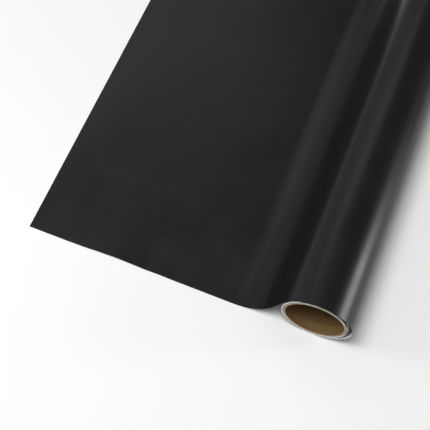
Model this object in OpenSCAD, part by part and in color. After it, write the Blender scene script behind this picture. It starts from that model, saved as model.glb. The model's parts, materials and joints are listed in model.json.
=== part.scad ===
// A roll of self-adhesive sign vinyl on a paperboard core, with its free end paid out flat on the floor.
//
// Frame: millimetres, X across the roll with the paid-out sheet towards -X, Y along the roll, Z up.
// The origin is on the floor, in the middle of the whole object's outline.
// The web is three layers from the inside out: release liner, adhesive and vinyl film. It is wound face out.

/* [Web] */
// Width of the web
web_w = 610; // [150:1:1600]
// Thickness of the vinyl film
film_t = 0.08; // [0.05:0.01:0.15]
// Thickness of the adhesive coat
adhesive_t = 0.03; // [0.02:0.01:0.05]
// Thickness of the release liner
liner_t = 0.14; // [0.10:0.01:0.20]

/* [Core] */
// Bore of the paperboard core
core_bore_d = 76.2; // [70:0.1:80]
// Wall of the paperboard core
core_wall = 2.8; // [2.4:0.1:5]
// Thickness of the double-sided tape that holds the web's inner end
start_tape_t = 0.1; // [0.05:0.01:0.2]
// Width of that tape, around the core
start_tape_w = 25; // [10:1:50]

/* [Roll] */
// Turns of web under the loose outer wrap, in quarter turns
wound_turns = 14.75; // [10:0.25:16]
// How far the loose outer wrap stands off the windings where it is widest
loose_rise = 3.9; // [0:0.1:5]

/* [Paid-out sheet] */
// Distance from the roll's axis to the sheet's free edge
sheet_reach = 391; // [260:1:600]
// Slope of the web where it comes down off the roll, in degrees
web_slope = 65; // [50:1:78]
// Radius of the bend where the web meets the floor
floor_bend_r = 55; // [40:1:60]
// Width of the strip of film that can be peeled back at the free edge
peel_w = 40; // [20:1:80]

/* [Hidden] */

// The core's plies, all of one thickness
core_plies = 6;
core_bore_r = core_bore_d / 2;
core_r = core_bore_r + core_wall;
ply_t = core_wall / core_plies;

// Heights of the web's layers above its inner face
adhesive_h = liner_t;
film_h = liner_t + adhesive_t;
web_t = liner_t + adhesive_t + film_t;

// The windings: a spiral whose radius grows by one web thickness a turn, drawn in equal steps of angle.
// The middles of its first turn's straight steps lie on the tape.
spiral_step = 7.5;
spiral_end_a = 277.5;
spiral_start_a = spiral_end_a - 360 * wound_turns;
spiral_steps = 360 * wound_turns / spiral_step;
spiral_start_r = (core_r + start_tape_t) / cos(spiral_step / 2);
wound_r = spiral_start_r + web_t * (wound_turns + 1);

// The tape, drawn in fine steps whose middles lie on the core
tape_a = start_tape_w / core_r * 180 / PI;
tape_steps = 24;
tape_inner_r = core_r / cos(tape_a / tape_steps / 2);
tape_outer_r = core_r + start_tape_t;

// The outer wrap starts under the roll, stands off the windings on the side away from the sheet,
// lies back against them over the top, and leaves them towards the floor.
wrap_gap = 0.3;
wrap_step = 4;
wrap_r = (wound_r + wrap_gap) / cos(wrap_step / 2);
wrap_start_a = -80;
loose_middle_a = -5;
loose_half_a = 75;
axis_z = wound_r;

// The straight slope is tangent to the wrap above and to the bend below, which sets where the web touches down
touchdown = (wrap_r + floor_bend_r + (axis_z - floor_bend_r) * cos(web_slope)) / sin(web_slope);
wrap_end_a = 90 + web_slope;
wrap_steps = ceil((wrap_end_a - wrap_start_a) / wrap_step);
bend_steps = 16;

// Distances from the roll's axis to where the sliding sheet and the peeling strip begin
bridge_end = 150;
peel_line = sheet_reach - peel_w;

// The roll's axis, set so that the origin is in the middle of the outline
bridge_right = max([for (p = layer_line(web_t)) p[0]]);
axis_x = (sheet_reach - bridge_right) / 2;

film_colour = [0.08, 0.08, 0.085];
adhesive_colour = [0.75, 0.76, 0.74];
liner_colour = [0.90, 0.90, 0.88];
kraft_colour = [0.55, 0.42, 0.28];
tape_colour = [0.93, 0.92, 0.85];

// A point at a radius and an angle from the roll's axis
function around_axis(r, a) = [r * cos(a), r * sin(a)];

// One edge of a wound layer, at a height above the web's inner face
function spiral_line(h) = [
    for (i = [0 : spiral_steps])
        around_axis(spiral_start_r + h + web_t * i * spiral_step / 360, spiral_start_a + i * spiral_step)
];

// One face of the tape, starting where the web's inner end lies on it
function tape_line(r) = [for (i = [0 : tape_steps]) around_axis(r, spiral_start_a + tape_a * i / tape_steps)];

// How far the outer wrap stands off the windings at an angle
function stand_off(a) =
    abs(a - loose_middle_a) < loose_half_a
        ? loose_rise * pow(cos(90 * (a - loose_middle_a) / loose_half_a), 2)
        : 0;

// The bridge's line, at a height above the web's inner face: the wrap, the bend at the floor and the flat
function wrap_line(h) = [
    for (i = [0 : wrap_steps])
        let (a = wrap_start_a + (wrap_end_a - wrap_start_a) * i / wrap_steps)
            around_axis(wrap_r + stand_off(a) + h, a)
];
function bend_line(h) = [
    for (i = [0 : bend_steps])
        let (a = web_slope * (1 - i / bend_steps))
            [(floor_bend_r - h) * sin(a) - touchdown, floor_bend_r - (floor_bend_r - h) * cos(a) - axis_z]
];
function layer_line(h) = concat(wrap_line(h), bend_line(h), [[-bridge_end, h - axis_z]]);

function reversed(line) = [for (i = [len(line) - 1 : -1 : 0]) line[i]];

// Stands an outline in the XZ plane, measured from the roll's axis, and gives it the web's width along Y
module across_web() {
    translate([axis_x, 0, axis_z])
        rotate([90, 0, 0])
            linear_extrude(height = web_w, center = true)
                children();
}

// A layer of the windings between two heights above the web's inner face
module wound_layer(low, high) {
    across_web() polygon(concat(spiral_line(low), reversed(spiral_line(high))));
}

// A layer of the bridge between two heights
module bridge_layer(low, high) {
    across_web() polygon(concat(layer_line(low), reversed(layer_line(high))));
}

// A layer of the flat sheet between two distances from the roll's axis and two heights
module flat_layer(near, far, low, high) {
    translate([axis_x - far, -web_w / 2, low])
        cube([far - near, web_w, high - low]);
}

// One tube of the core, counted from the bore outwards
module core_ply(index) {
    inner_r = core_bore_r + index * ply_t;
    color(kraft_colour)
        translate([axis_x, 0, axis_z])
            rotate([90, 0, 0])
                difference() {
                    cylinder(h = web_w, r = inner_r + ply_t, center = true, $fn = 96);
                    cylinder(h = web_w + 2, r = inner_r, center = true, $fn = 96);
                }
}

module core_inner_ply() { core_ply(0); }
module core_body_ply_1() { core_ply(1); }
module core_body_ply_2() { core_ply(2); }
module core_body_ply_3() { core_ply(3); }
module core_body_ply_4() { core_ply(4); }
module core_outer_ply() { core_ply(5); }

// Double-sided tape along the core, under the web's inner end
module core_start_tape() {
    color(tape_colour)
        across_web() polygon(concat(tape_line(tape_inner_r), reversed(tape_line(tape_outer_r))));
}

module wound_liner() { color(liner_colour) wound_layer(0, adhesive_h); }
module wound_adhesive() { color(adhesive_colour) wound_layer(adhesive_h, film_h); }
module wound_film() { color(film_colour) wound_layer(film_h, web_t); }

module bridge_liner() { color(liner_colour) bridge_layer(0, adhesive_h); }
module bridge_adhesive() { color(adhesive_colour) bridge_layer(adhesive_h, film_h); }
module bridge_film() { color(film_colour) bridge_layer(film_h, web_t); }

module sheet_liner() { color(liner_colour) flat_layer(bridge_end, sheet_reach, 0, adhesive_h); }
module sheet_adhesive() { color(adhesive_colour) flat_layer(bridge_end, peel_line, adhesive_h, film_h); }
module sheet_film() { color(film_colour) flat_layer(bridge_end, peel_line, film_h, web_t); }

// The leading strip of film, which lifts off the liner about its own top edge at the peel line
module peel_adhesive() { color(adhesive_colour) flat_layer(peel_line, sheet_reach, adhesive_h, film_h); }
module peel_film() { color(film_colour) flat_layer(peel_line, sheet_reach, film_h, web_t); }

core_inner_ply();
core_body_ply_1();
core_body_ply_2();
core_body_ply_3();
core_body_ply_4();
core_outer_ply();
core_start_tape();
wound_liner();
wound_adhesive();
wound_film();
bridge_liner();
bridge_adhesive();
bridge_film();
sheet_liner();
sheet_adhesive();
sheet_film();
peel_adhesive();
peel_film();
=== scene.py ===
"""The looks of a roll of black sign vinyl with its free end paid out flat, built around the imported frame.

Metres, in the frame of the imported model: X across the roll, Y along it, Z up, the floor at Z = 0.
"""

import json
import math

import bmesh
import bpy
import numpy as np
from mathutils import Euler, Matrix, Vector, noise


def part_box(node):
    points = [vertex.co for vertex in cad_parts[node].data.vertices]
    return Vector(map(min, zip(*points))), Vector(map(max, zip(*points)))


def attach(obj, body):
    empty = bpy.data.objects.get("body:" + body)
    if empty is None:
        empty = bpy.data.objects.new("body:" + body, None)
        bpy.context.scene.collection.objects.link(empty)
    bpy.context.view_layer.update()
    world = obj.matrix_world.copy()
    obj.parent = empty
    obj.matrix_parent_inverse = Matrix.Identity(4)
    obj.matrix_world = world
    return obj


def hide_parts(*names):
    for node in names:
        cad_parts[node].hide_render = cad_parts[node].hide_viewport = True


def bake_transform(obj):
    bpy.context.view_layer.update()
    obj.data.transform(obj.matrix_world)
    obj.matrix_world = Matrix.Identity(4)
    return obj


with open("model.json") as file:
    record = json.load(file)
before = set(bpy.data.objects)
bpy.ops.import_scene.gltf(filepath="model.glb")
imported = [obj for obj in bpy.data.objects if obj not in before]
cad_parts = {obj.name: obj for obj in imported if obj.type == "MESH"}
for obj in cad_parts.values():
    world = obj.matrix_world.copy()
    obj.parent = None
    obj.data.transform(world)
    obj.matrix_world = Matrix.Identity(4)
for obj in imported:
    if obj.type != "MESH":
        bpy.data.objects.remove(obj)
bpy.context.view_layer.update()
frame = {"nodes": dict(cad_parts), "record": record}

MM = 0.001

# ---------------------------------------------------------------------------------------------------------
# Sizes, from the frame's own boxes
# ---------------------------------------------------------------------------------------------------------

core_low, core_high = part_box("core_inner_ply")
AXIS_X = (core_low.x + core_high.x) / 2
AXIS_Z = (core_low.z + core_high.z) / 2
NEAR_Y = core_low.y
FAR_Y = core_high.y
WEB_WIDTH = FAR_Y - NEAR_Y

bore = next(m for m in frame["record"]["mounts"] if m["name"] == "core_bore")
BORE_R = bore["dims"]["r_mm"] * MM
CORE_R = (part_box("core_outer_ply")[1].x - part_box("core_outer_ply")[0].x) / 2
PLIES = ["core_inner_ply"] + [f"core_body_ply_{i}" for i in range(1, 5)] + ["core_outer_ply"]
PLY_T = (CORE_R - BORE_R) / len(PLIES)

# The web's layers, from its inner face outwards
LINER_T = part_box("sheet_liner")[1].z
FILM_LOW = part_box("sheet_film")[0].z
WEB_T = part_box("sheet_film")[1].z
FREE_EDGE_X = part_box("sheet_liner")[0].x
PEEL_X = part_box("peel_film")[1].x

# The windings stand on the floor, and the spiral grows by one web thickness a turn
WOUND_R = AXIS_Z
WOUND_TURNS = 14.75
SPIRAL_END = math.radians(277.5)
SPIRAL_STEP = math.radians(2.5)

# The bridge's wrap, slope and bend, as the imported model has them
WRAP_GAP = 0.3 * MM
WRAP_R = WOUND_R + WRAP_GAP
WRAP_START = math.radians(-80)
LOOSE_RISE = 3.9 * MM
LOOSE_MIDDLE = math.radians(-5)
LOOSE_HALF = math.radians(75)
WEB_SLOPE = math.radians(65)
BEND_R = 55 * MM
WRAP_END = math.pi / 2 + WEB_SLOPE
TOUCHDOWN = (WRAP_R + BEND_R + (AXIS_Z - BEND_R) * math.cos(WEB_SLOPE)) / math.sin(WEB_SLOPE)

# In the outer wrap, the slope and the sheet the liner's slit edges sit a little inside the film's
LINER_SHRINK = 0.3 * MM

# At the roll's ends the core and the windings sit a little inside the outer wrap. In the inner turns the
# film has shrunk back from the liner. In the outer turns, and where they have slipped, it stands proud.
CORE_INSET = 0.4 * MM
WOUND_INSET = 0.6 * MM
WOUND_SHRINK = 0.5 * MM
PROUD_STEP = 0.9 * MM
PROUD_TURNS = 3.0
# The windings' slit edges wander by up to this much, about this many times a turn
EDGE_WANDER = 0.25 * MM
EDGE_SWINGS = 5
EDGE_SEED = 3.1

# All but the inmost turns have slipped along the roll, round a direction on the upper right
SLIPPED_TURNS = 13.0
SLIP = 6.0 * MM
SLIP_MIDDLE = math.radians(55)
SLIP_HALF = math.radians(90)

# How finely the web's line and its pieces are divided
WRAP_POINTS = 400
BEND_POINTS = 100
LINE_STEP = 1.0 * MM
WEB_STEP = 2.5 * MM
PEEL_STEP = 0.5 * MM
CROSS_STEP = 7.5 * MM
# The line's changes of curvature are eased over about this many of its points. Jerk is the third difference.
EASE_REACH = 9
EASE_ORDER = 3

# Points closer than this are one, in metres, and an edge sharper than this angle is shaded as an edge
MERGE_DISTANCE = 1e-7
SHARP_ANGLE = math.radians(40)


# ---------------------------------------------------------------------------------------------------------
# Meshes
# ---------------------------------------------------------------------------------------------------------


def grid_faces(rows, columns, first, flip):
    """The quads of a grid of vertices that starts at index first."""
    index = np.arange(rows * columns).reshape(rows, columns) + first
    quads = np.stack([index[:-1, :-1], index[1:, :-1], index[1:, 1:], index[:-1, 1:]], axis=-1)
    quads = quads.reshape(-1, 4)
    return quads[:, ::-1] if flip else quads


def rim_faces(line, other, flip):
    """The quads between two lines of vertices that run side by side."""
    quads = np.stack([line[:-1], line[1:], other[1:], other[:-1]], axis=-1)
    return quads[:, ::-1] if flip else quads


def slab(name, lower, upper, surface):
    """A closed thin mesh between two grids of points, with its surface coordinates in a UV map."""
    rows, columns = lower.shape[:2]
    count = rows * columns
    low = np.arange(count).reshape(rows, columns)
    high = low + count
    faces = [
        grid_faces(rows, columns, 0, False),
        grid_faces(rows, columns, count, True),
        rim_faces(low[0], high[0], False),
        rim_faces(low[-1], high[-1], True),
        rim_faces(low[:, 0], high[:, 0], True),
        rim_faces(low[:, -1], high[:, -1], False),
    ]
    points = np.concatenate([lower.reshape(-1, 3), upper.reshape(-1, 3)])
    mesh = bpy.data.meshes.new(name)
    mesh.from_pydata(points.tolist(), [], np.concatenate(faces).tolist())
    both = np.concatenate([surface.reshape(-1, 2), surface.reshape(-1, 2)])
    corners = np.empty(len(mesh.loops), dtype=np.int32)
    mesh.loops.foreach_get("vertex_index", corners)
    layer = mesh.uv_layers.new(name="web")
    layer.data.foreach_set("uv", both[corners].ravel().astype(np.float32))
    return finished(name, mesh)


def finished(name, mesh):
    """An object with smooth faces, crisp rims and normals that face outwards."""
    form = bmesh.new()
    form.from_mesh(mesh)
    bmesh.ops.remove_doubles(form, verts=form.verts, dist=MERGE_DISTANCE)
    bmesh.ops.recalc_face_normals(form, faces=form.faces)
    form.to_mesh(mesh)
    form.free()
    mesh.shade_smooth()
    mesh.set_sharp_from_angle(angle=SHARP_ANGLE)
    made = bpy.data.objects.new(name, mesh)
    bpy.context.scene.collection.objects.link(made)
    return made


# ---------------------------------------------------------------------------------------------------------
# The web
# ---------------------------------------------------------------------------------------------------------


def stand_off(angle):
    """How far the outer wrap stands off the windings at an angle round the roll."""
    share = np.clip((angle - LOOSE_MIDDLE) / LOOSE_HALF, -1, 1)
    return LOOSE_RISE * np.cos(share * math.pi / 2) ** 2


def distances_along(line):
    """The distance of each of a line's points from its start, along the line."""
    return np.concatenate([[0], np.cumsum(np.linalg.norm(np.diff(line, axis=0), axis=1))])


def read_off(places, distances, values):
    """Pairs of values that are known at some distances along a line, read off at other places."""
    return np.stack([np.interp(places, distances, values[:, k]) for k in range(2)], axis=1)


def resampled(line, step):
    """The same line with points an equal step apart."""
    distances = distances_along(line)
    count = int(round(distances[-1] / step))
    return read_off(np.linspace(0, distances[-1], count + 1), distances, line)


def eased(line, reach):
    """The line with its changes of curvature eased over about reach points.

    It has the least jerk that it can have while it stays close to the old line, closest of all at its ends.
    """
    count = len(line)
    jerk = np.diff(np.eye(count), n=EASE_ORDER, axis=0)
    pull = np.full(count, (1.0 / reach) ** (2 * EASE_ORDER))
    pull[:EASE_ORDER] = 1.0
    pull[-EASE_ORDER:] = 1.0
    system = jerk.T @ jerk + np.diag(pull)
    return np.linalg.solve(system, pull[:, None] * line)


def web_line():
    """The web's inner face in the XZ plane, from the free edge to the wrap's start under the roll.

    The slope is the straight stretch between the bend and the wrap. Easing would dip the line under the floor
    just before the bend, so it is held at the floor's height there.
    """
    angles = np.linspace(WRAP_END, WRAP_START, WRAP_POINTS)
    radii = WRAP_R + stand_off(angles)
    wrap = np.stack([AXIS_X + radii * np.cos(angles), AXIS_Z + radii * np.sin(angles)], axis=1)
    tilts = np.linspace(0, WEB_SLOPE, BEND_POINTS)
    bend = np.stack([AXIS_X - TOUCHDOWN + BEND_R * np.sin(tilts), BEND_R * (1 - np.cos(tilts))], axis=1)
    flat = np.array([[FREE_EDGE_X, 0.0]])
    line = eased(resampled(np.concatenate([flat, bend, wrap]), LINE_STEP), EASE_REACH)
    line[:, 1] = np.maximum(line[:, 1], 0)
    return line


def line_normals(line):
    """Unit normals on the line's film side."""
    along = np.gradient(line, axis=0)
    along /= np.linalg.norm(along, axis=1)[:, None]
    return np.stack([-along[:, 1], along[:, 0]], axis=1)


LINE = web_line()
NORMALS = line_normals(LINE)
LINE_S = distances_along(LINE)
WEB_LENGTH = LINE_S[-1]
PEEL_S = PEEL_X - FREE_EDGE_X


def hump(value, middle, half):
    """A smooth hump of height 1."""
    return np.cos(np.clip((value - middle) / half, -1, 1) * math.pi / 2) ** 2


# Lifts of the sheet's slit edges: height, place along the web, half the length, and how far inwards it fades
NEAR_LIFTS = [(4.0 * MM, 121 * MM, 60 * MM, 50 * MM), (1.3 * MM, 183 * MM, 22 * MM, 20 * MM)]
FAR_LIFTS = [(3.0 * MM, 150 * MM, 80 * MM, 60 * MM)]
# A low arch over the middle of the sheet, which starts from nothing at the free edge
ARCH_HEIGHT = 1.8 * MM
ARCH_RISE = 20 * MM
ARCH_LENGTH = 150 * MM
ARCH_MIDDLE = WEB_WIDTH / 2
ARCH_HALF = 290 * MM
# The sheet has crept towards the near end: by how far at its free edge, and how far along the web it dies out
DRIFT = -1.7 * MM
DRIFT_LENGTH = 230 * MM


def ripple(s, y):
    """How far handling and curl have lifted the web, s along it from its free edge and at y across it."""
    near = y - NEAR_Y
    far = FAR_Y - y
    lift = 0
    for edge, lifts in ((near, NEAR_LIFTS), (far, FAR_LIFTS)):
        for height, place, half, fade in lifts:
            lift = lift + height * hump(s, place, half) * np.exp(-edge / fade)
    rise = 1 - np.exp(-s / ARCH_RISE)
    return lift + ARCH_HEIGHT * rise * hump(s, 0, ARCH_LENGTH) * hump(near, ARCH_MIDDLE, ARCH_HALF)


def drift(s):
    """How far the web has crept along the roll: most at the free edge, none where it leaves the floor."""
    return DRIFT * hump(s, 0, DRIFT_LENGTH)


def web_grid(stations, across, height):
    """Points of the web's surface at a height above its inner face."""
    place = read_off(stations, LINE_S, LINE)
    normal = read_off(stations, LINE_S, NORMALS)
    normal /= np.linalg.norm(normal, axis=1)[:, None]
    s, y = np.meshgrid(stations, across, indexing="ij")
    lift = height + ripple(s, y)
    x = place[:, 0][:, None] + normal[:, 0][:, None] * lift
    z = place[:, 1][:, None] + normal[:, 1][:, None] * lift
    return np.stack([x, y + drift(s), z], axis=-1)


def web_piece(name, low, high, start, end, step, shrink):
    """One layer of the web from one distance along it to another."""
    stations = np.linspace(start, end, int(round((end - start) / step)) + 1)
    width = WEB_WIDTH - 2 * shrink
    across = np.linspace(NEAR_Y + shrink, FAR_Y - shrink, int(round(width / CROSS_STEP)) + 1)
    surface = np.stack(np.meshgrid(stations, across, indexing="ij"), axis=-1)
    return slab(name, web_grid(stations, across, low), web_grid(stations, across, high), surface)


def slipped(angles):
    """How much of the slip the outer turns have at an angle round the roll, from 0 to 1."""
    return hump((angles - SLIP_MIDDLE + math.pi) % (2 * math.pi) - math.pi, 0, SLIP_HALF)


def wound_insets(angles, turns_left, is_liner):
    """How far a layer's edges sit inside the web's width: either liner or film is shrunk back from the other.

    turns_left is how many turns there are from each place to the outer end. The film stands proud while that
    is under proud_turns, goes over to being shrunk back within a turn, and stays so to the core.
    """
    proud_turns = PROUD_TURNS + (SLIPPED_TURNS - PROUD_TURNS) * slipped(angles)
    proud = np.clip(proud_turns + 0.5 - turns_left, 0, 1)
    shrunk = PROUD_STEP * proud if is_liner else WOUND_SHRINK * (1 - proud)
    wander = np.array([noise.noise(Vector((EDGE_SWINGS * turn, EDGE_SEED, 0))) for turn in turns_left])
    return WOUND_INSET + shrunk + EDGE_WANDER * wander


def wound_slip(angles, turns_left):
    """How far each place in the windings has slipped along the roll, away from the near end."""
    return SLIP * slipped(angles) * np.clip(SLIPPED_TURNS + 0.5 - turns_left, 0, 1)


def wound_piece(name, low, high, is_liner):
    """One layer of the windings: a true spiral whose edges wander a little, as slit and rewound edges do."""
    steps = int(round(2 * math.pi * WOUND_TURNS / SPIRAL_STEP))
    angles = SPIRAL_END - 2 * math.pi * WOUND_TURNS + np.arange(steps + 1) * SPIRAL_STEP
    turns_left = (SPIRAL_END - angles) / (2 * math.pi)
    radii = WOUND_R - WEB_T * (1 + turns_left)
    inset = wound_insets(angles, turns_left, is_liner)
    slip = wound_slip(angles, turns_left)
    ends = np.stack([NEAR_Y + inset + slip, FAR_Y - inset + slip], axis=1)
    grids = []
    for height in (low, high):
        x = AXIS_X + (radii + height) * np.cos(angles)
        z = AXIS_Z + (radii + height) * np.sin(angles)
        grids.append(np.stack([x[:, None] + 0 * ends, ends, z[:, None] + 0 * ends], axis=-1))
    run = np.concatenate([[0], np.cumsum(radii[1:] * SPIRAL_STEP)])
    surface = np.stack([run[:, None] + 0 * ends, ends], axis=-1)
    return slab(name, grids[0], grids[1], surface)


# ---------------------------------------------------------------------------------------------------------
# The core
# ---------------------------------------------------------------------------------------------------------

# The inner ply's lead, how much longer each next one's is, and how many turns on the next one's seam starts
PLY_LEAD = 118 * MM
PLY_LEAD_GROWTH = 4 * MM
PLY_STAGGER = 0.37
PLY_SEAM = 0.5 * MM
PLY_CLEARANCE = 0.01 * MM
# How deep the cut ends are frayed, and how fine the fraying is round the core
PLY_FRAY = 0.12 * MM
FRAY_SCALE = 9
PLY_SEGMENTS = 120
PLY_ROWS = 6


def fray_noise(angle, index):
    """Noise round a ply's cut end, the same after each turn."""
    return noise.noise(Vector((FRAY_SCALE * math.cos(angle), FRAY_SCALE * math.sin(angle), index)))


def ply_strip(name, index):
    """One ply of the core: a strip of board wound in a helix, butted edge to edge and cut square at the ends.

    The strip runs on past both ends of the core, and what lies past them is drawn back to the cut.
    """
    inner_r = BORE_R + index * PLY_T + PLY_CLEARANCE
    outer_r = inner_r + PLY_T - 2 * PLY_CLEARANCE
    start = NEAR_Y + CORE_INSET
    length = WEB_WIDTH - 2 * CORE_INSET
    lead = PLY_LEAD + PLY_LEAD_GROWTH * index
    strip = lead - PLY_SEAM
    first = -strip / lead
    last = length / lead
    columns = int(round((last - first) * PLY_SEGMENTS)) + 1
    turns = np.linspace(first, last, columns)[:, None]
    across = np.linspace(0, strip, PLY_ROWS)[None, :]
    along = np.clip(lead * turns + across, 0, length)
    angles = 2 * math.pi * (turns + PLY_STAGGER * index) + 0 * across
    fray = PLY_FRAY * (0.5 + 0.5 * np.vectorize(fray_noise)(angles, index))
    along = along + np.where(along <= 0, fray, 0) - np.where(along >= length, fray, 0)
    grids = []
    for radius in (inner_r, outer_r):
        x = AXIS_X + radius * np.cos(angles)
        z = AXIS_Z + radius * np.sin(angles)
        grids.append(np.stack([x, start + along, z], axis=-1))
    surface = np.stack([2 * math.pi * inner_r * turns + 0 * across, 0 * turns + across], axis=-1)
    return slab(name, grids[0], grids[1], surface)


# ---------------------------------------------------------------------------------------------------------
# Materials
# ---------------------------------------------------------------------------------------------------------


# Noise keeps mostly between these values
NOISE_LOW = 0.3
NOISE_HIGH = 0.7


class Paint:
    """A material's node tree, with short ways to add what these materials use."""

    def __init__(self, name):
        self.material = bpy.data.materials.new(name)
        self.material.use_nodes = True
        self.nodes = self.material.node_tree.nodes
        self.links = self.material.node_tree.links
        self.shader = self.nodes["Principled BSDF"]

    def fixed(self, **values):
        """Sets the shader's own sockets, whose names are given with _ for a space."""
        for key, value in values.items():
            self.shader.inputs[key.replace("_", " ")].default_value = value

    def place(self, source, scale=(1, 1, 1)):
        """Coordinates in metres from the web's own map or from the object, scaled on each axis."""
        if source == "web":
            start = self.nodes.new("ShaderNodeUVMap")
            start.uv_map = "web"
            output = start.outputs["UV"]
        else:
            start = self.nodes.new("ShaderNodeTexCoord")
            output = start.outputs["Object"]
        mapping = self.nodes.new("ShaderNodeMapping")
        mapping.inputs["Scale"].default_value = scale
        self.links.new(output, mapping.inputs["Vector"])
        return mapping.outputs["Vector"]

    def cloud(self, vector, scale=1.0, detail=2.0, rough=0.5):
        """Noise from 0 to 1."""
        node = self.nodes.new("ShaderNodeTexNoise")
        node.inputs["Scale"].default_value = scale
        node.inputs["Detail"].default_value = detail
        node.inputs["Roughness"].default_value = rough
        self.links.new(vector, node.inputs["Vector"])
        return node.outputs["Fac"]

    def spread(self, value, out_low, out_high, low=NOISE_LOW, high=NOISE_HIGH):
        """The value mapped from the range low to high to the range out_low to out_high."""
        node = self.nodes.new("ShaderNodeMapRange")
        node.inputs["From Min"].default_value = low
        node.inputs["From Max"].default_value = high
        node.inputs["To Min"].default_value = out_low
        node.inputs["To Max"].default_value = out_high
        self.links.new(value, node.inputs["Value"])
        return node.outputs["Result"]

    def joined(self, kind, first, second):
        """Two values added, multiplied or the like."""
        node = self.nodes.new("ShaderNodeMath")
        node.operation = kind
        for socket, value in zip(node.inputs, (first, second)):
            if isinstance(value, (int, float)):
                socket.default_value = value
            else:
                self.links.new(value, socket)
        return node.outputs["Value"]

    def mixed(self, *parts):
        """The sum of values, each times its share."""
        total = 0.0
        for value, share in parts:
            total = self.joined("ADD", total, self.joined("MULTIPLY", value, share))
        return total

    def ramp(self, value, dark, light, low=NOISE_LOW, high=NOISE_HIGH):
        """A colour that goes from dark to light as the value goes from low to high."""
        node = self.nodes.new("ShaderNodeValToRGB")
        for element, position, colour in zip(node.color_ramp.elements, (low, high), (dark, light)):
            element.position = position
            element.color = (*colour, 1.0)
        self.links.new(value, node.inputs["Fac"])
        return node.outputs["Color"]

    def bump(self, height, distance, strength=1.0, below=None):
        """A bump of a real height, over another bump if given."""
        node = self.nodes.new("ShaderNodeBump")
        node.inputs["Distance"].default_value = distance
        node.inputs["Strength"].default_value = strength
        self.links.new(height, node.inputs["Height"])
        if below is not None:
            self.links.new(below, node.inputs["Normal"])
        return node.outputs["Normal"]

    def into(self, name, output):
        """Links an output to one of the shader's sockets."""
        self.links.new(output, self.shader.inputs[name])


def film_material():
    """Satin black calendered vinyl: a very fine grain, faint streaks along the web, soft bands across it."""
    paint = Paint("film_satin_black")
    paint.fixed(IOR=1.5, Specular_IOR_Level=0.5)
    web = paint.place("web")
    fine = paint.cloud(web, scale=1600, rough=0.6)
    peel = paint.cloud(web, scale=260)
    smudges = paint.cloud(web, scale=14, detail=4.0, rough=0.6)
    streaks = paint.cloud(paint.place("web", (4, 420, 1)), detail=3.0, rough=0.6)
    bands = paint.cloud(paint.place("web", (55, 2.5, 1)))
    tone = paint.mixed((smudges, 0.7), (streaks, 0.3))
    paint.into("Base Color", paint.ramp(tone, dark=(0.0036, 0.0036, 0.0038), light=(0.0056, 0.0056, 0.0058)))
    handled = paint.spread(smudges, 0.27, 0.33)
    rubbed = paint.spread(streaks, 0.0, 0.03)
    paint.into("Roughness", paint.joined("ADD", handled, rubbed))
    grain = paint.bump(fine, distance=0.004 * MM, strength=0.5)
    orange_peel = paint.bump(peel, distance=0.02 * MM, strength=0.5, below=grain)
    paint.into("Normal", paint.bump(bands, distance=0.15 * MM, strength=0.5, below=orange_peel))
    return paint.material


def adhesive_material():
    """Clear adhesive against the black film: glossy, with fine coating lines and tiny pits."""
    paint = Paint("adhesive_clear")
    paint.fixed(IOR=1.47, Specular_IOR_Level=0.5)
    lines = paint.cloud(paint.place("web", (3, 900, 1)))
    pits = paint.cloud(paint.place("web"), scale=700, detail=3.0, rough=0.6)
    paint.into("Base Color", paint.ramp(lines, dark=(0.075, 0.075, 0.076), light=(0.105, 0.105, 0.106)))
    paint.into("Roughness", paint.spread(pits, 0.12, 0.26))
    paint.into("Normal", paint.bump(pits, distance=0.01 * MM, strength=0.6))
    return paint.material


def liner_material():
    """White coated release paper: a slight paper formation and a soft sheen."""
    paint = Paint("liner_white")
    paint.fixed(IOR=1.45, Specular_IOR_Level=0.45)
    formation = paint.cloud(paint.place("web"), scale=180, detail=4.0, rough=0.65)
    fibres = paint.cloud(paint.place("web", (300, 900, 1)), detail=3.0, rough=0.6)
    tone = paint.mixed((formation, 0.6), (fibres, 0.4))
    paint.into("Base Color", paint.ramp(tone, dark=(0.80, 0.80, 0.78), light=(0.87, 0.87, 0.86)))
    paint.into("Roughness", paint.spread(formation, 0.38, 0.50))
    paint.into("Normal", paint.bump(fibres, distance=0.01 * MM, strength=0.5))
    return paint.material


def board_material(name, dark, light, freckle):
    """Paperboard: fibres in the strip, winding marks round the core, mottle and a few freckles."""
    paint = Paint(name)
    paint.fixed(IOR=1.4, Specular_IOR_Level=0.25)
    core = paint.place("object")
    fibres = paint.cloud(paint.place("web", (350, 2200, 1)), detail=4.0, rough=0.65)
    marks = paint.cloud(paint.place("object", (7, 330, 7)), detail=4.0, rough=0.7)
    mottle = paint.cloud(core, scale=110, detail=4.0, rough=0.6)
    flecks = paint.cloud(core, scale=1300, detail=1.0, rough=0.4)
    tone = paint.mixed((fibres, 0.25), (mottle, 0.25), (marks, 0.5))
    mix = paint.nodes.new("ShaderNodeMix")
    mix.data_type = "RGBA"
    mix.inputs["B"].default_value = (*freckle, 1.0)
    paint.links.new(paint.spread(flecks, 0.0, 1.0, low=0.66, high=0.72), mix.inputs["Factor"])
    paint.links.new(paint.ramp(tone, dark, light, low=0.40, high=0.60), mix.inputs["A"])
    paint.into("Base Color", mix.outputs["Result"])
    paint.into("Roughness", paint.spread(mottle, 0.78, 0.92))
    ridges = paint.bump(marks, distance=0.25 * MM, strength=0.8)
    paint.into("Normal", paint.bump(fibres, distance=0.08 * MM, strength=0.7, below=ridges))
    return paint.material


def tape_material():
    """Double-sided tissue tape."""
    paint = Paint("tape_tissue")
    paint.fixed(IOR=1.46)
    weave = paint.cloud(paint.place("object", (400, 400, 400)), detail=3.0, rough=0.6)
    paint.into("Base Color", paint.ramp(weave, dark=(0.78, 0.76, 0.66), light=(0.86, 0.84, 0.75)))
    paint.into("Roughness", paint.spread(weave, 0.45, 0.6))
    return paint.material


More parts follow.
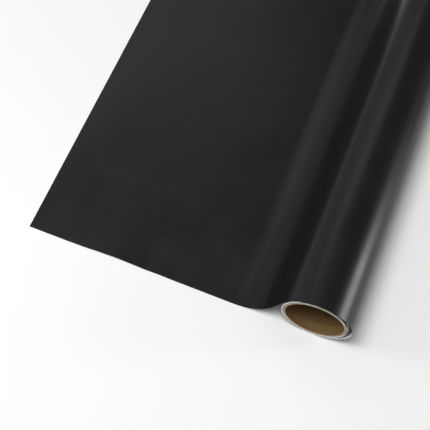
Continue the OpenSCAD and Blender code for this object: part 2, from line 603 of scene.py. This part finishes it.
def floor_material():
    """A plain pale studio floor."""
    paint = Paint("floor_pale")
    paint.fixed(Specular_IOR_Level=0.1)
    cloud = paint.cloud(paint.place("object"), scale=1.5)
    paint.into("Base Color", paint.ramp(cloud, dark=(0.92, 0.92, 0.92), light=(0.94, 0.94, 0.94)))
    paint.into("Roughness", paint.spread(cloud, 0.75, 0.85))
    return paint.material


# ---------------------------------------------------------------------------------------------------------
# The pieces
# ---------------------------------------------------------------------------------------------------------

FILM = film_material()
ADHESIVE = adhesive_material()
LINER = liner_material()
KRAFT = board_material(
    "core_kraft_brown", dark=(0.125, 0.072, 0.026), light=(0.225, 0.135, 0.056), freckle=(0.07, 0.04, 0.015)
)
BOARD = board_material(
    "core_board_tan", dark=(0.40, 0.33, 0.22), light=(0.50, 0.42, 0.30), freckle=(0.24, 0.17, 0.10)
)
TAPE = tape_material()


def dress(piece, material, slot, *nodes):
    """Gives a piece its material and hides the CAD nodes it stands for; its slot is not used."""
    piece.data.materials.append(material)
    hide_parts(*nodes)


def running_layer(name, low, high, start, shrink, material, slot):
    """A layer of the web from the sheet over the bridge to the wrap's start, in one piece."""
    piece = web_piece(name, low, high, start, WEB_LENGTH, WEB_STEP, shrink)
    dress(piece, material, slot, f"bridge_{slot}", f"sheet_{slot}")
    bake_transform(piece)


def peeling_layer(name, low, high, material, slot):
    """A layer of the leading strip, from the free edge to the peel line, lying on the liner along the sheet's
    line.
    """
    piece = web_piece(name, low, high, 0, PEEL_S, PEEL_STEP, 0)
    dress(piece, material, slot, f"peel_{slot}")
    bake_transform(piece)


def wound_layer(name, low, high, material, slot):
    """A layer of the windings on the core."""
    piece = wound_piece(name, low, high, slot == "liner")
    dress(piece, material, slot, f"wound_{slot}")
    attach(piece, "roll")


for number, node_name in enumerate(PLIES):
    strip = ply_strip(f"core_strip_{number + 1}", number)
    outside = number in (0, len(PLIES) - 1)
    dress(strip, KRAFT if outside else BOARD, "core_kraft" if outside else "core_board", node_name)
    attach(strip, "roll")

wound_layer("liner_windings", 0, LINER_T, LINER, "liner")
wound_layer("adhesive_windings", LINER_T, FILM_LOW, ADHESIVE, "adhesive")
wound_layer("film_windings", FILM_LOW, WEB_T, FILM, "film")

running_layer("liner_web", 0, LINER_T, 0, LINER_SHRINK, LINER, "liner")
running_layer("adhesive_web", LINER_T, FILM_LOW, PEEL_S, 0, ADHESIVE, "adhesive")
running_layer("film_web", FILM_LOW, WEB_T, PEEL_S, 0, FILM, "film")

peeling_layer("adhesive_peel_strip", LINER_T, FILM_LOW, ADHESIVE, "adhesive")
peeling_layer("film_peel_strip", FILM_LOW, WEB_T, FILM, "film")

tape = frame["nodes"]["core_start_tape"]
tape.data.materials.clear()
tape.data.materials.append(TAPE)

# ---------------------------------------------------------------------------------------------------------
# Floor, light and camera
# ---------------------------------------------------------------------------------------------------------

FLOOR_SIZE = 12.0
FLOOR_DROP = 0.02 * MM


def floor():
    """A plain floor just under the web."""
    half = FLOOR_SIZE / 2
    corners = [(-half, -half, 0), (half, -half, 0), (half, half, 0), (-half, half, 0)]
    mesh = bpy.data.meshes.new("floor")
    mesh.from_pydata(corners, [], [(0, 1, 2, 3)])
    made = bpy.data.objects.new("floor", mesh)
    made.location.z = -FLOOR_DROP
    made.data.materials.append(floor_material())
    bpy.context.scene.collection.objects.link(made)


def aimed(position, target, roll=0.0):
    """A matrix at a position, facing a target, turned about its own line of sight."""
    line = Vector(target) - Vector(position)
    turn = line.to_track_quat("-Z", "Y").to_matrix().to_4x4()
    return Matrix.Translation(position) @ turn @ Euler((0, 0, roll)).to_matrix().to_4x4()


def softbox(name, position, width, height, radiance):
    """A soft rectangular light whose face has a given radiance, aimed at the origin."""
    lamp = bpy.data.lights.new(name, "AREA")
    lamp.shape = "RECTANGLE"
    lamp.size = width
    lamp.size_y = height
    lamp.energy = radiance * width * height * math.pi
    made = bpy.data.objects.new(name, lamp)
    made.matrix_world = aimed(position, (0, 0, 0))
    bpy.context.scene.collection.objects.link(made)


def around(azimuth, elevation, distance, centre=(0, 0, 0)):
    """A point at an azimuth (0 is the near side, 90 the right), an elevation and a distance from a centre."""
    a, e = math.radians(azimuth), math.radians(elevation)
    back = Vector((math.sin(a) * math.cos(e), -math.cos(a) * math.cos(e), math.sin(e)))
    return Vector(centre) + back * distance


floor()

# Azimuth, elevation, distance, width, height and radiance of each soft light
LIGHTS = {
    # Two keys: one high on the near left for the floor, one lower on the left that reaches into the bore
    "key_high": (335, 68, 2.2, 1.1, 0.8, 12.5),
    "key_low": (292, 28, 2.0, 0.8, 0.5, 6.0),
    # A bright strip low on the right and a wider dim one, which draw the highlight down the roll's right side
    "strip_right": (101, 15, 1.5, 0.27, 0.50, 9.8),
    "strip_right_wide": (112, 20, 1.5, 0.55, 0.4, 0.5),
    # Dim walls on the far left, which the satin film mirrors over the slope, the top and the flat sheet
    "wall_left": (240, 26, 1.6, 1.5, 0.95, 0.25),
    "high_left_back": (215, 50, 1.75, 1.0, 0.6, 0.7),
}
for light_name, (azimuth, elevation, distance, width, height, radiance) in LIGHTS.items():
    softbox(light_name, around(azimuth, elevation, distance), width, height, radiance)

WORLD_STRENGTH = 0.15

world = bpy.data.worlds.new("studio")
world.use_nodes = True
world.node_tree.nodes["Background"].inputs["Color"].default_value = (1, 1, 1, 1)
world.node_tree.nodes["Background"].inputs["Strength"].default_value = WORLD_STRENGTH
bpy.context.scene.world = world

# The camera's aim and place, in metres and degrees, and its lens
VIEW_AIM = (-0.0009, -0.1954, 0.0)
VIEW_AZIMUTH = 14.73
VIEW_ELEVATION = 63.25
VIEW_ROLL = 7.39
VIEW_DISTANCE = 1.36
LENS_MM = 84.95
SENSOR_MM = 36.0

camera = bpy.data.objects.new("camera", bpy.data.cameras.new("camera"))
camera.data.lens = LENS_MM
camera.data.sensor_width = SENSOR_MM
view_point = around(VIEW_AZIMUTH, VIEW_ELEVATION, VIEW_DISTANCE, VIEW_AIM)
camera.matrix_world = aimed(view_point, VIEW_AIM, math.radians(VIEW_ROLL))
bpy.context.scene.collection.objects.link(camera)
bpy.context.scene.camera = camera

bpy.context.scene.view_settings.view_transform = "Standard"
